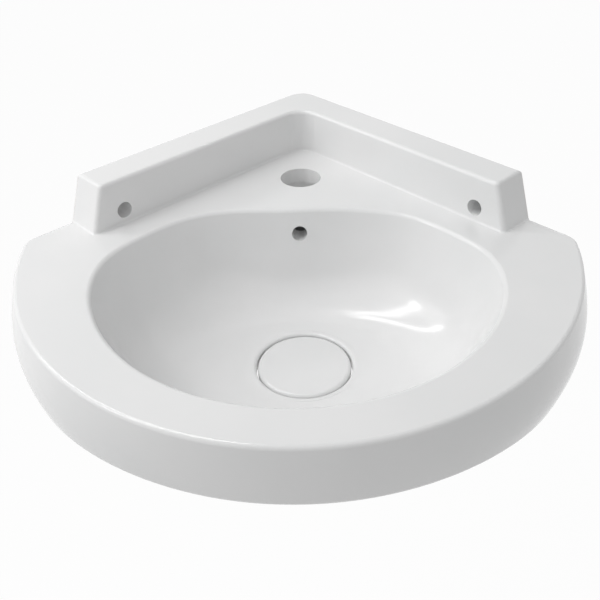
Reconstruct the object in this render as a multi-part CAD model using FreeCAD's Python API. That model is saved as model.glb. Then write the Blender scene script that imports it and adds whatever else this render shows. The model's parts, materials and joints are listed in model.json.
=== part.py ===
import FreeCAD, Part
import math
import os

# Corner wash basin with a push-open waste. Millimetres, +Z up.
# The origin is the tap hole's axis on the flat deck (z = 0); +Y points into the room corner,
# +X to the right of a person who stands at the basin. The two walls stand at 45 degrees to Y.

# Walls and outer plan
CORNER_Y = 108.7              # tap hole axis to the room corner
APEX_ROUND = 16.0             # rounding of the back corner, where the two walls meet
SIDE_HALF_WIDTH = 210.6       # half of the widest width, at the deck's edge
PLAN_CENTRE_Y = -98.6         # where the plan is widest
FRONT_REACH = 220.8           # from the widest place to the front edge
PLAN_POWER = 2.0              # 2 is an ellipse, more is squarer
DECK_CORNER_ROUND = 15.0      # plan rounding where the side meets the wall
WALL_CLEAR = 0.3              # the raw body stands this far past the wall before it is trimmed

# Height profile of the outer side: depth below the deck, bulge at the sides, bulge at the front
BELLY = ((0.0, 0.0, 0.0), (8.0, 2.4, 1.2), (22.0, 6.2, 2.4), (42.0, 7.0, 3.0),
         (60.0, 0.5, 1.5), (80.0, -7.5, -1.0), (105.0, -14.0, -4.0), (130.0, -17.0, -7.0))
DECK_EDGE_ROUND = 3.0         # roll of the deck's outer edge
LIP_DEPTH = 45.6              # depth of the outer side at the front
BACK_DEPTH = 122.0            # depth of the outer side at the walls
SWEEP_LEAD = 14.6             # the lower edge's sweep starts this far in front of the basin
SWEEP_LEVEL = 3.1             # it ends level, this far in front of where side and wall meet
SWEEP_FRONT_PULL = 50.0       # pole of the sweep at the lip's depth, in front of its end
SWEEP_BACK_PULL = 52.0        # pole of the sweep at the walls' depth, in front of its end
LIP_ROUND = 3.5               # roll of the lower outer edge

# Ceramic thicknesses
DECK_THICK = 13.0
SIDE_THICK = 11.0
BACK_THICK = 12.0
BOWL_THICK = 9.5
HOLLOW_ROUND = 6.0            # inner corner between deck and sides

# Upstand along both walls
UPSTAND_HEIGHT = 37.6
UPSTAND_FOOT_THICK = 32.8
UPSTAND_TOP_THICK = 31.3
UPSTAND_FOOT_LENGTH = 257.0   # from the room corner along the wall
UPSTAND_TOP_LENGTH = 244.0
UPSTAND_ROOT = 10.0           # how far its raw body reaches into the deck
UPSTAND_INNER_ROUND = 17.0
UPSTAND_END_ROUND = 4.0
UPSTAND_TOP_ROUND = 3.0
UPSTAND_FOOT_ROUND = 2.0

# Bowl
BOWL_CENTRE_Y = -148.0        # where the rim is widest
BOWL_HALF_WIDTH = 146.3
BOWL_BACK = 91.6              # from the widest place back to the rim
BOWL_FRONT = 140.0            # from the widest place forward to the rim
BOWL_DEPTH = 84.0             # deck to the waste's lip
# right half of the rim behind its widest place, as shares of half width and back reach
BACK_SHAPE = ((0.0, 1.0), (0.38, 0.985), (0.62, 0.86), (0.83, 0.56), (0.955, 0.29))
BACK_LEAN = 14.0              # lean of the bowl's walls from upright, in degrees
SIDE_LEAN = 18.0
FRONT_LEAN = 28.0
BACK_COVE = 40.0              # radius between wall and floor
SIDE_COVE = 50.0
FRONT_COVE = 60.0
FLOOR_FALL = 2.0              # fall of the floor to the waste, in degrees
RIM_ROUND = 3.5

# Waste place and hole in the ceramic
WASTE_X = 4.5
WASTE_Y = -151.2
CAP_RADIUS = 36.5
CAP_GAP = 1.2                 # round the cap
CAP_RECESS_DEPTH = 15.0
RECESS_LIP_ROUND = 2.5
RECESS_APRON = 1.8            # flat ring between lip rounding and bowl floor
WASTE_HOLE_RADIUS = 22.5
BOSS_RADIUS = 36.0
BOSS_LENGTH = 47.0            # bowl floor to the boss's lower face

# Tap hole, wall fixing holes and overflow
TAP_HOLE_RADIUS = 17.5
FIXING_RADIUS = 6.5
FIXING_ALONG_WALL = 227.0     # from the room corner
FIXING_HEIGHT = 11.0          # above the deck
OVERFLOW_RADIUS = 6.25
OVERFLOW_DEPTH = 20.0         # below the deck
OVERFLOW_SHAFT_Y = -40.0
OVERFLOW_SHAFT_WIDTH = 24.0
OVERFLOW_SHAFT_THICK = 12.0
OVERFLOW_DUCT_TOP = 104.0     # below the deck
OVERFLOW_DUCT_HEIGHT = 13.0
OVERFLOW_WALL = 8.0
OVERFLOW_UNDER_RIM = 22.0     # the housing's raw body starts this far before the bowl's back rim
HOUSING_ROUND = 4.0           # edges of the overflow's housing under the bowl

# Waste body, a slotted and flanged tube with a standard outer thread
THREAD_RADIUS = 20.95
WASTE_BORE_RADIUS = 17.8
FLANGE_RADIUS = 33.0
FLANGE_THICK = 2.5
FLANGE_SEAL_THICK = 1.5
FLANGE_SEAL_INSET = 1.0       # the seal's edge stands back under the flange's
WASTE_LENGTH = 84.0           # flange top to the tube's lower end
FLANGE_ROUND = 1.5            # upper edge of the flange
SEAT_DEPTH = 1.6              # bevel of the plug's seat in the flange
RELIEF_RADIUS = 20.2          # groove that parts the trap's thread from the back nut's
RELIEF_WIDTH = 1.5
RELIEF_BELOW_NUT = 0.5
SLOT_COUNT = 4
SLOT_WIDTH = 17.0
HUB_RADIUS = 11.5
HUB_HEIGHT = 8.0
HUB_TOP_BELOW_SLOTS = 6.0
SPOKE_COUNT = 3
SPOKE_WIDTH = 3.0

# Parts that clamp the waste from below
THREAD_CLEAR = 0.06
LOWER_SEAL_RADIUS = 31.0
LOWER_SEAL_THICK = 5.0
LOWER_SEAL_SPIGOT = 4.0
SEAL_CLEAR = 0.2
SPIGOT_TAPER = 0.6            # the spigot's top is this much slimmer
SLIP_WASHER_RADIUS = 30.0
SLIP_WASHER_THICK = 1.5
NUT_FLATS_RADIUS = 26.0
NUT_THICK = 10.0
NUT_COLLAR_RADIUS = 28.5
NUT_COLLAR_THICK = 2.5


# Plug: ceramic cap, carrier, seal and what holds the cap on
CAP_CROWN = 1.5               # rise of the cap's middle
CAP_THICK = 7.5
CAP_EDGE_ROUND = 3.6
CAP_SOCKET_RADIUS = 21.0
CAP_SOCKET_DEPTH = 3.0
CARRIER_RADIUS = 28.0
CARRIER_THICK = 2.6
CARRIER_NECK_RADIUS = 19.3
CARRIER_HUB_RADIUS = 6.0
CARRIER_HUB_LENGTH = 6.0
CARRIER_NECK_HEIGHT = 2.5
CARRIER_SPIGOT_HEIGHT = 1.6
CAP_RING_WIRE = 1.6           # soft ring that grips the cap's socket
LOCK_NUT_FLATS_RADIUS = 4.0
LOCK_NUT_THICK = 2.4
PLUG_SEAL_RADIUS = 27.0
PLUG_SEAL_INNER = 22.5
PLUG_SEAL_THICK = 2.0
PLUG_SEAL_ROUND = 0.6
PLUG_LIFT = 9.0

# Push-open cartridge
ROD_RADIUS = 2.5
SLEEVE_RADIUS = 8.6
SLEEVE_BORE = 6.6
SLEEVE_FLANGE_RADIUS = 10.8
SLEEVE_FLANGE_THICK = 2.0
SLEEVE_ABOVE_HUB = 20.0
SLEEVE_BELOW_HUB = 22.0
FIT_CLEAR = 0.05
BUSH_LENGTH = 5.0
HEAD_RADIUS = 6.2
HEAD_HEIGHT = 4.0
HEAD_CLEAR = 0.3              # head to bush with the plug fully raised
ROTOR_RADIUS = 6.2
ROTOR_HEIGHT = 6.0
ROTOR_CLEAR = 0.1             # head to rotor
ROTOR_LUGS = 4
LUG_WIDTH = 2.4
LUG_RISE = 1.2                # lugs stand out this far from the rotor's ring
LUG_FOOT = 1.0                # and start this far above its lower face
PILOT_RADIUS = 1.8
PILOT_PAST_ROTOR = 7.0
SPRING_WIRE = 1.0
SPRING_RADIUS = 4.4           # to the middle of the wire
SPRING_TURNS = 7
SPRING_END_CLEAR = 0.1
END_CAP_THICK = 3.0
END_CAP_HOLE = 2.5            # drains the cartridge
STEM_RING_WIRE = 1.5
STEM_RING_BELOW = 0.3         # ring below the bush's mouth
STEM_SEAT_CLEAR = 0.1         # under the ring

# Working values
BIG = 700.0                   # longer than the basin, for trimming bodies
CUT_PAST = 5.0                # cutting bodies run this far past the faces they cut
OVERLAP = 1.0                 # bodies that are joined reach this far into each other
NEAR = 5.0                    # margin when an edge is looked for by its place
FLAT_ENOUGH = 0.0001          # margin when an edge is looked for by its exact height or radius


def vec(x, y, z=0.0):
    return FreeCAD.Vector(x, y, z)


def line(a, b):
    return Part.LineSegment(a, b).toShape()


def polygon(points):
    return Part.makePolygon(list(points) + [points[0]])


def prism(points, height):
    return Part.Face(polygon(points)).extrude(vec(0, 0, height))


def cylinder(radius, z_low, z_high, x=0.0, y=0.0):
    return Part.makeCylinder(radius, z_high - z_low, vec(x, y, z_low))


def waste_cylinder(radius, z_low, z_high):
    return cylinder(radius, z_low, z_high, WASTE_X, WASTE_Y)


def ring(outer, inner, z_low, z_high):
    inside = waste_cylinder(inner, z_low - CUT_PAST, z_high + CUT_PAST)
    return waste_cylinder(outer, z_low, z_high).cut(inside)


def waste_turned(profile):
    """A body turned about the waste's axis from (radius, z) corners."""
    points = [vec(WASTE_X + r, WASTE_Y, z) for r, z in profile]
    face = Part.Face(polygon(points))
    return face.revolve(vec(WASTE_X, WASTE_Y, 0), vec(0, 0, 1), 360)


def at_waste(shape, z):
    shape.translate(vec(WASTE_X, WASTE_Y, z))
    return shape


# ---------------------------------------------------------------- outer body

def edge_bulge(depth):
    """Side and front bulge at a depth, straight between the named levels."""
    for (d0, s0, f0), (d1, s1, f1) in zip(BELLY, BELLY[1:]):
        if depth <= d1:
            share = (depth - d0) / (d1 - d0)
            return s0 + (s1 - s0) * share, f0 + (f1 - f0) * share
    return BELLY[-1][1:]


def plan_point(half_width, reach, angle):
    """Point of the free edge; angle 0 is the front, 90 the widest place, more is behind it."""
    power = 2.0 / PLAN_POWER
    s, c = math.sin(angle), math.cos(angle)
    x = math.copysign(abs(s) ** power, s) * half_width
    return vec(x, PLAN_CENTRE_Y - math.copysign(abs(c) ** power, c) * reach)


def plan_normal(half_width, reach, angle):
    step = 1e-4
    before = plan_point(half_width, reach, angle - step)
    after = plan_point(half_width, reach, angle + step)
    run = (after - before).normalize()
    return vec(run.y, -run.x)


def corner_angle(half_width, reach, radius):
    """Angle where the corner's rounding leaves the free edge and just passes the wall."""
    low, high = math.radians(50), math.radians(110)
    wall = CORNER_Y / math.sqrt(2) + WALL_CLEAR
    for _ in range(50):
        mid = (low + high) / 2
        centre = plan_point(half_width, reach, mid) - plan_normal(half_width, reach, mid) * radius
        if (centre.x + centre.y) / math.sqrt(2) + radius < wall:
            low = mid
        else:
            high = mid
    return mid


def body_section(half_width, reach, z, inset=0.0):
    """Closed plan outline: free edge, rounded corners and straight runs behind the walls."""
    radius = DECK_CORNER_ROUND
    wide, long = half_width - inset, reach - inset
    limit = corner_angle(wide, long, radius)
    steps = 12
    points = [plan_point(wide, long, limit * (2.0 * k / steps - 1)) for k in range(steps + 1)]
    end_normal = plan_normal(wide, long, limit)
    run = vec(-end_normal.y, end_normal.x)
    lengths = [0.0]
    for before, after in zip(points, points[1:]):
        lengths.append(lengths[-1] + (after - before).Length)
    curve = Part.BSplineCurve()
    curve.interpolate(Points=points, Parameters=lengths, InitialTangent=vec(run.x, -run.y),
                      FinalTangent=run, Scale=False)
    centre = points[-1] - end_normal * radius
    diagonal = vec(1, 1).normalize()
    middle = (end_normal + diagonal).normalize()
    arc_points = [points[-1], centre + middle * radius, centre + diagonal * radius]
    mirrored = [vec(-p.x, p.y) for p in reversed(arc_points)]
    apex = vec(0, CORNER_Y + WALL_CLEAR * math.sqrt(2))
    edges = [curve.toShape(), Part.Arc(*arc_points).toShape(), line(arc_points[-1], apex),
             line(apex, mirrored[0]), Part.Arc(*mirrored).toShape()]
    wire = Part.Wire(Part.__sortEdges__(edges))
    wire.translate(vec(0, 0, z))
    return wire


def body_loft(inset, top, bottom):
    """The basin's outer form between two depths, inset for the inner side."""
    levels = [top] + [d for d, _, _ in BELLY if top < d < bottom] + [bottom]
    wires = []
    for depth in levels:
        side, front = edge_bulge(depth)
        wires.append(body_section(SIDE_HALF_WIDTH + side, FRONT_REACH + front, -depth, inset))
    return Part.makeLoft(wires, True)


def wedge(offset, apex_round, z_low, z_high):
    """Everything between the two walls, at a distance in front of them."""
    tip = vec(0, CORNER_Y - offset * math.sqrt(2), z_low)
    right = vec(BIG, tip.y - BIG, z_low)
    left = vec(-BIG, tip.y - BIG, z_low)
    body = prism([tip, right, left], z_high - z_low)
    back = [e for e in body.Edges if abs(e.CenterOfMass.x) < 1e-6 and abs(e.CenterOfMass.y - tip.y) < 1e-6]
    return body.makeFillet(apex_round, back)


def along_wall(distance, off, side, z=0.0):
    """Point at a distance from the room corner along a wall and off its face."""
    half = math.sqrt(0.5)
    x = (distance - off) * half
    y = CORNER_Y - (distance + off) * half
    return vec(side * x, y, z)


def upstand_raw():
    """Drafted L-shaped upstand, standing past the walls and into the deck."""
    past = 6.0
    slope_thick = (UPSTAND_FOOT_THICK - UPSTAND_TOP_THICK) / UPSTAND_HEIGHT
    slope_length = (UPSTAND_FOOT_LENGTH - UPSTAND_TOP_LENGTH) / UPSTAND_HEIGHT
    wires = []
    for z in (-UPSTAND_ROOT, UPSTAND_HEIGHT):
        thick = UPSTAND_FOOT_THICK - slope_thick * z
        length = UPSTAND_FOOT_LENGTH - slope_length * z
        right = [along_wall(-past, -past, 1, z), along_wall(length, -past, 1, z),
                 along_wall(length, thick, 1, z), along_wall(thick, thick, 1, z)]
        left = [along_wall(length, thick, -1, z), along_wall(length, -past, -1, z)]
        wires.append(polygon(right + left))
    body = Part.makeLoft(wires, True, True)
    apex = [e for e in body.Edges
            if is_upright(e) and abs(e.CenterOfMass.x) < 1 and e.CenterOfMass.y < CORNER_Y]
    body = body.makeFillet(UPSTAND_INNER_ROUND, apex)
    ends = [e for e in body.Edges if is_upright(e) and near_end_inside(e.CenterOfMass)]
    return body.makeFillet(UPSTAND_END_ROUND, ends)


def is_upright(edge):
    box = edge.BoundBox
    return box.ZLength > 0.9 * (UPSTAND_HEIGHT + UPSTAND_ROOT)


def near_end_inside(point):
    """True for a place near the free end of either arm, on its room side."""
    half = math.sqrt(0.5)
    along = (abs(point.x) + CORNER_Y - point.y) * half
    off = (CORNER_Y - point.y - abs(point.x)) * half
    shorter = min(UPSTAND_TOP_LENGTH, UPSTAND_FOOT_LENGTH)
    thinner = min(UPSTAND_TOP_THICK, UPSTAND_FOOT_THICK)
    return along > shorter - NEAR and off > thinner - NEAR


def underside_cut():
    """Everything below the lower edge, which is shallow in front and sweeps down to the walls."""
    x = -BIG / 2
    front = vec(x, PLAN_CENTRE_Y - FRONT_REACH - SWEEP_LEAD, -LIP_DEPTH)
    end_y = CORNER_Y - SIDE_HALF_WIDTH - SWEEP_LEVEL
    level = vec(x, end_y, -BACK_DEPTH)
    high_pole = vec(x, end_y - SWEEP_FRONT_PULL, -LIP_DEPTH)
    low_pole = vec(x, end_y - SWEEP_BACK_PULL, -BACK_DEPTH)
    sweep = Part.BezierCurve()
    sweep.setPoles([front, high_pole, low_pole, level])
    behind = vec(x, CORNER_Y + CUT_PAST, -BACK_DEPTH)
    deep_back = vec(x, CORNER_Y + CUT_PAST, -BIG / 2)
    deep_front = vec(x, front.y, -BIG / 2)
    edges = [sweep.toShape(), line(level, behind), line(behind, deep_back),
             line(deep_back, deep_front), line(deep_front, front)]
    return Part.Face(Part.Wire(edges)).extrude(vec(BIG, 0, 0))


def outer_body():
    """Deck, sides and upstand as one full body between the walls."""
    block = body_loft(0.0, 0.0, BELLY[-1][0])
    apex = [e for e in block.Edges if e.BoundBox.ZLength > 60 and e.CenterOfMass.y > 0
            and abs(e.CenterOfMass.x) < 1]
    block = block.makeFillet(APEX_ROUND / 2, apex)
    block = block.makeFillet(DECK_EDGE_ROUND, edges_at(block, 0.0))
    body = block.fuse(upstand_raw())
    body = body.common(wedge(0.0, APEX_ROUND, -BIG / 2, BIG / 2))
    body = body.makeFillet(UPSTAND_TOP_ROUND, edges_at(body, UPSTAND_HEIGHT))
    foot = [e for e in edges_at(body, 0.0) if not on_free_edge(e.CenterOfMass)]
    return body.makeFillet(UPSTAND_FOOT_ROUND, foot)


def edges_at(shape, z):
    """Edges that lie level at a height."""
    found = []
    for edge in shape.Edges:
        ends = [edge.valueAt(edge.FirstParameter + share * (edge.LastParameter - edge.FirstParameter))
                for share in (0.0, 0.3, 0.6, 1.0)]
        if all(abs(p.z - z) < FLAT_ENOUGH for p in ends):
            found.append(edge)
    return found


def on_free_edge(point):
    """True outside the upstand's reach, where the deck's outer edge runs."""
    half = math.sqrt(0.5)
    along = (abs(point.x) + CORNER_Y - point.y) * half
    off = (CORNER_Y - point.y - abs(point.x)) * half
    return along > UPSTAND_FOOT_LENGTH + 1 or off > UPSTAND_FOOT_THICK + UPSTAND_INNER_ROUND


# ---------------------------------------------------------------- bowl

BOWL_LEVELS = (-0.03, 0.0, 0.1, 0.22, 0.42, 0.58, 0.68, 0.77, 0.85, 0.915, 0.955, 0.975, 0.987, 0.995, 1.0)


def ring_radius():
    """Where the bowl's floor meets the level ring round the cap."""
    return CAP_RADIUS + CAP_GAP + RECESS_LIP_ROUND + RECESS_APRON


def wall_inset(depth, lean, cove, run):
    """How far the bowl's surface has come in from the rim at a depth.

    A leaning wall, a cove and a floor that falls to the waste; run is the way from rim to waste.
    """
    lean, fall = math.radians(lean), math.radians(FLOOR_FALL)
    slope = math.tan(fall)
    level = BOWL_DEPTH - run * slope - cove / math.cos(fall)
    centre_in = (cove + math.sin(lean) * level) / (math.cos(lean) - slope * math.sin(lean))
    centre_down = level + centre_in * slope
    if depth <= centre_down + cove * math.sin(lean):
        return depth * math.tan(lean)
    if depth < centre_down + cove * math.cos(fall):
        return centre_in - math.sqrt(cove ** 2 - (depth - centre_down) ** 2)
    return run - (BOWL_DEPTH - depth) / slope


def bowl_section(share, grow=0.0):
    """Closed outline of the bowl at a share of its depth, grown for the outer side."""
    depth = share * BOWL_DEPTH
    edge = ring_radius()
    back_y, front_y = BOWL_CENTRE_Y + BOWL_BACK, BOWL_CENTRE_Y - BOWL_FRONT
    right = BOWL_HALF_WIDTH - wall_inset(depth, SIDE_LEAN, SIDE_COVE, BOWL_HALF_WIDTH - WASTE_X - edge)
    left = BOWL_HALF_WIDTH - wall_inset(depth, SIDE_LEAN, SIDE_COVE, BOWL_HALF_WIDTH + WASTE_X - edge)
    back = back_y - wall_inset(depth, BACK_LEAN, BACK_COVE, back_y - WASTE_Y - edge)
    front = front_y + wall_inset(depth, FRONT_LEAN, FRONT_COVE, WASTE_Y - front_y - edge)
    late = min(max((share - 0.5) / 0.5, 0.0), 1.0)
    blend = late * late * (3 - 2 * late)
    centre_x = (right - left) / 2
    centre_y = BOWL_CENTRE_Y + (WASTE_Y - BOWL_CENTRE_Y) * blend
    half = (right + left) / 2 + grow
    points = []
    for x, y in BACK_SHAPE:
        size = math.hypot(x, y)
        shape_x = x + (x / size - x) * blend
        shape_y = y + (y / size - y) * blend
        points.append((half * shape_x, (back + grow - centre_y) * shape_y))
    for angle in (90.0, 67.5, 45.0, 22.5, 0.0):
        turn = math.radians(angle)
        points.append((half * math.sin(turn), (front - grow - centre_y) * math.cos(turn)))
    points += [(-x, y) for x, y in reversed(points[1:-1])]
    z = -depth * (1 + grow / BOWL_DEPTH)
    curve = Part.BSplineCurve()
    curve.interpolate(Points=[vec(centre_x + x, centre_y + y, z) for x, y in points], PeriodicFlag=True)
    return Part.Wire([curve.toShape()])


def bowl_space():
    return Part.makeLoft([bowl_section(share) for share in BOWL_LEVELS], True)


def bowl_shell():
    return Part.makeLoft([bowl_section(share, BOWL_THICK) for share in BOWL_LEVELS if share > 0], True)


# ---------------------------------------------------------------- basin

def box(low, high):
    size = high - low
    return Part.makeBox(size.x, size.y, size.z, low)


def floor_z():
    return -BOWL_DEPTH


def boss_bottom():
    return floor_z() - BOSS_LENGTH


def recess_z():
    return floor_z() - CAP_RECESS_DEPTH


def duct_bottom():
    return -OVERFLOW_DUCT_TOP - OVERFLOW_DUCT_HEIGHT


def overflow_housing():
    """Ceramic round the overflow's shaft behind the bowl and its duct under the bowl."""
    half = OVERFLOW_SHAFT_WIDTH / 2 + OVERFLOW_WALL
    back = OVERFLOW_SHAFT_Y + OVERFLOW_SHAFT_THICK / 2 + OVERFLOW_WALL
    low = duct_bottom() - OVERFLOW_WALL
    shaft = box(vec(-half, BOWL_CENTRE_Y + BOWL_BACK - OVERFLOW_UNDER_RIM, low),
                vec(half, back, -DECK_THICK + OVERLAP))
    duct = box(vec(-half, WASTE_Y, low), vec(half, back, floor_z() - OVERLAP))
    return rounded_back(shaft).fuse(rounded_back(duct))


def rounded_back(block):
    upright = [e for e in block.Edges if e.BoundBox.ZLength > OVERFLOW_DUCT_HEIGHT
               and e.CenterOfMass.y > OVERFLOW_SHAFT_Y]
    return block.makeFillet(HOUSING_ROUND, upright)


def overflow_way():
    """Hole in the bowl's back, shaft down behind it and duct to the waste hole."""
    half = OVERFLOW_SHAFT_WIDTH / 2
    front = OVERFLOW_SHAFT_Y - OVERFLOW_SHAFT_THICK / 2
    back = OVERFLOW_SHAFT_Y + OVERFLOW_SHAFT_THICK / 2
    mouth_y = BOWL_CENTRE_Y + BOWL_BACK - OVERFLOW_UNDER_RIM - CUT_PAST
    mouth = Part.makeCylinder(OVERFLOW_RADIUS, OVERFLOW_SHAFT_Y - mouth_y, vec(0, mouth_y, -OVERFLOW_DEPTH),
                              vec(0, 1, 0))
    shaft = box(vec(-half, front, duct_bottom()), vec(half, back, -OVERFLOW_DEPTH + OVERFLOW_RADIUS))
    duct = box(vec(-half, WASTE_Y, duct_bottom()), vec(half, back, -OVERFLOW_DUCT_TOP))
    return mouth.fuse([shaft, duct])


def fixing_hole(side):
    """Hole through the upstand, square to its wall."""
    start = along_wall(FIXING_ALONG_WALL, -CUT_PAST, side, FIXING_HEIGHT)
    end = along_wall(FIXING_ALONG_WALL, UPSTAND_FOOT_THICK + CUT_PAST, side, FIXING_HEIGHT)
    return Part.makeCylinder(FIXING_RADIUS, (end - start).Length, start, end - start)


def hollow():
    """Open space under the deck between bowl, sides and wall faces."""
    inner = body_loft(SIDE_THICK, DECK_THICK, BELLY[-1][0])
    inner = inner.common(wedge(BACK_THICK, APEX_ROUND, -BIG / 2, 0))
    return inner.makeFillet(HOLLOW_ROUND, edges_at(inner, -DECK_THICK))


def lower_edges(body):
    """Lower outer edge from one wall round the front to the other."""
    found = []
    for edge in body.Edges:
        middle = edge.valueAt((edge.FirstParameter + edge.LastParameter) / 2)
        off = (CORNER_Y - middle.y - abs(middle.x)) * math.sqrt(0.5)
        curved = edge.Curve.TypeId != "Part::GeomLine"
        if curved and edge.BoundBox.ZMax < -LIP_DEPTH + NEAR and off > WALL_CLEAR:
            found.append(edge)
    return found


def rim_edges(body):
    front = BOWL_CENTRE_Y - BOWL_FRONT
    return [e for e in edges_at(body, 0.0)
            if e.BoundBox.YMin > front - NEAR and e.BoundBox.YMax < BOWL_CENTRE_Y + BOWL_BACK + NEAR
            and e.BoundBox.XLength > BOWL_HALF_WIDTH / 2]


def recess_edges(body):
    """Upper edge of the round recess that holds the cap."""
    found = []
    for edge in edges_at(body, floor_z()):
        middle = edge.valueAt((edge.FirstParameter + edge.LastParameter) / 2)
        from_axis = math.hypot(middle.x - WASTE_X, middle.y - WASTE_Y)
        if abs(from_axis - CAP_RADIUS - CAP_GAP) < FLAT_ENOUGH:
            found.append(edge)
    return found


def basin():
    body = outer_body().cut(underside_cut())
    body = body.makeFillet(LIP_ROUND, lower_edges(body))
    body = body.cut(hollow())
    boss = waste_cylinder(BOSS_RADIUS, boss_bottom(), floor_z() - OVERLAP)
    body = body.fuse([bowl_shell(), boss, overflow_housing()])
    recess = waste_cylinder(CAP_RADIUS + CAP_GAP, recess_z(), floor_z() + CUT_PAST)
    waste_hole = waste_cylinder(WASTE_HOLE_RADIUS, boss_bottom() - CUT_PAST, recess_z() + OVERLAP)
    tap_hole = cylinder(TAP_HOLE_RADIUS, -DECK_THICK - CUT_PAST, CUT_PAST)
    body = body.cut([bowl_space(), tap_hole, fixing_hole(-1), fixing_hole(1)])
    body = body.cut([recess, waste_hole, overflow_way()])
    body = body.makeFillet(RIM_ROUND, rim_edges(body))
    return body.makeFillet(RECESS_LIP_ROUND, recess_edges(body))


# ---------------------------------------------------------------- waste

def flange_top():
    return recess_z() + FLANGE_SEAL_THICK + FLANGE_THICK


def barrel_bottom():
    return flange_top() - WASTE_LENGTH


def hub_top():
    return duct_bottom() - HUB_TOP_BELOW_SLOTS


def radial_box(start, end, width, z_low, z_high, angle):
    """Box that runs out from the waste's axis at an angle."""
    body = box(vec(start, -width / 2, z_low), vec(end, width / 2, z_high))
    body.rotate(vec(0, 0, 0), vec(0, 0, 1), angle)
    return at_waste(body, 0)


def hexagon(flats_radius, z_low, height):
    """Six-sided block about the waste's axis."""
    reach = flats_radius / math.cos(math.pi / 6)
    points = [vec(WASTE_X + reach * math.cos(math.radians(60 * k)),
                  WASTE_Y + reach * math.sin(math.radians(60 * k)), z_low) for k in range(6)]
    return prism(points, height)


def waste_body():
    """Flanged tube with overflow slots and a spoked hub that carries the cartridge."""
    top = flange_top()
    relief_top = back_nut_bottom() - RELIEF_BELOW_NUT
    relief_low = relief_top - RELIEF_WIDTH
    outline = [(WASTE_BORE_RADIUS, barrel_bottom()), (THREAD_RADIUS, barrel_bottom()),
               (THREAD_RADIUS, relief_low), (RELIEF_RADIUS, relief_low),
               (RELIEF_RADIUS, relief_top), (THREAD_RADIUS, relief_top),
               (THREAD_RADIUS, top - FLANGE_THICK), (FLANGE_RADIUS, top - FLANGE_THICK),
               (FLANGE_RADIUS, top), (WASTE_BORE_RADIUS + SEAT_DEPTH, top),
               (WASTE_BORE_RADIUS, top - SEAT_DEPTH)]
    body = waste_turned(outline)
    rim = [e for e in edges_at(body, top) if e.Length > 2 * math.pi * (FLANGE_RADIUS - 0.1)]
    body = body.makeFillet(FLANGE_ROUND, rim)
    slots = [radial_box(WASTE_BORE_RADIUS - CUT_PAST, THREAD_RADIUS + CUT_PAST, SLOT_WIDTH, duct_bottom(),
                        -OVERFLOW_DUCT_TOP, 90 + 360.0 * k / SLOT_COUNT) for k in range(SLOT_COUNT)]
    body = body.cut(slots)
    hub = ring(HUB_RADIUS, SLEEVE_RADIUS + FIT_CLEAR, hub_top() - HUB_HEIGHT, hub_top())
    spokes = [radial_box(HUB_RADIUS - OVERLAP, WASTE_BORE_RADIUS + OVERLAP, SPOKE_WIDTH,
                         hub_top() - HUB_HEIGHT, hub_top(), 30 + 360.0 * k / SPOKE_COUNT)
              for k in range(SPOKE_COUNT)]
    return body.fuse([hub] + spokes)


def flange_seal():
    low = recess_z()
    return ring(FLANGE_RADIUS - FLANGE_SEAL_INSET, THREAD_RADIUS + SEAL_CLEAR, low, low + FLANGE_SEAL_THICK)


def lower_seal():
    """Flat soft ring with a tapered spigot that centres in the ceramic's hole."""
    top = boss_bottom()
    inner = THREAD_RADIUS + SEAL_CLEAR
    outer = WASTE_HOLE_RADIUS - SEAL_CLEAR
    return waste_turned([(inner, top - LOWER_SEAL_THICK), (LOWER_SEAL_RADIUS, top - LOWER_SEAL_THICK),
                         (LOWER_SEAL_RADIUS, top), (outer, top),
                         (outer - SPIGOT_TAPER, top + LOWER_SEAL_SPIGOT), (inner, top + LOWER_SEAL_SPIGOT)])


def slip_washer_top():
    return boss_bottom() - LOWER_SEAL_THICK


def slip_washer():
    top = slip_washer_top()
    return ring(SLIP_WASHER_RADIUS, THREAD_RADIUS + SEAL_CLEAR, top - SLIP_WASHER_THICK, top)


def back_nut_bottom():
    return slip_washer_top() - SLIP_WASHER_THICK - NUT_THICK


def back_nut():
    """Six-sided nut with a round collar."""
    low = back_nut_bottom()
    top = low + NUT_THICK
    block = hexagon(NUT_FLATS_RADIUS, low, NUT_THICK - NUT_COLLAR_THICK / 2)
    corner_radius = NUT_FLATS_RADIUS / math.cos(math.pi / 6)
    bevel = corner_radius - NUT_FLATS_RADIUS
    turned = waste_turned([(0, low), (NUT_FLATS_RADIUS, low), (corner_radius, low + bevel * 0.5),
                           (corner_radius, top), (0, top)])
    collar = waste_cylinder(NUT_COLLAR_RADIUS, top - NUT_COLLAR_THICK, top)
    nut = block.common(turned).fuse(collar)
    return nut.cut(waste_cylinder(THREAD_RADIUS + THREAD_CLEAR, low - CUT_PAST, top + CUT_PAST))


# ---------------------------------------------------------------- plug

def carrier_top():
    return flange_top() + PLUG_SEAL_THICK + CARRIER_THICK


def carrier_bottom():
    return flange_top() + PLUG_SEAL_THICK


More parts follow.
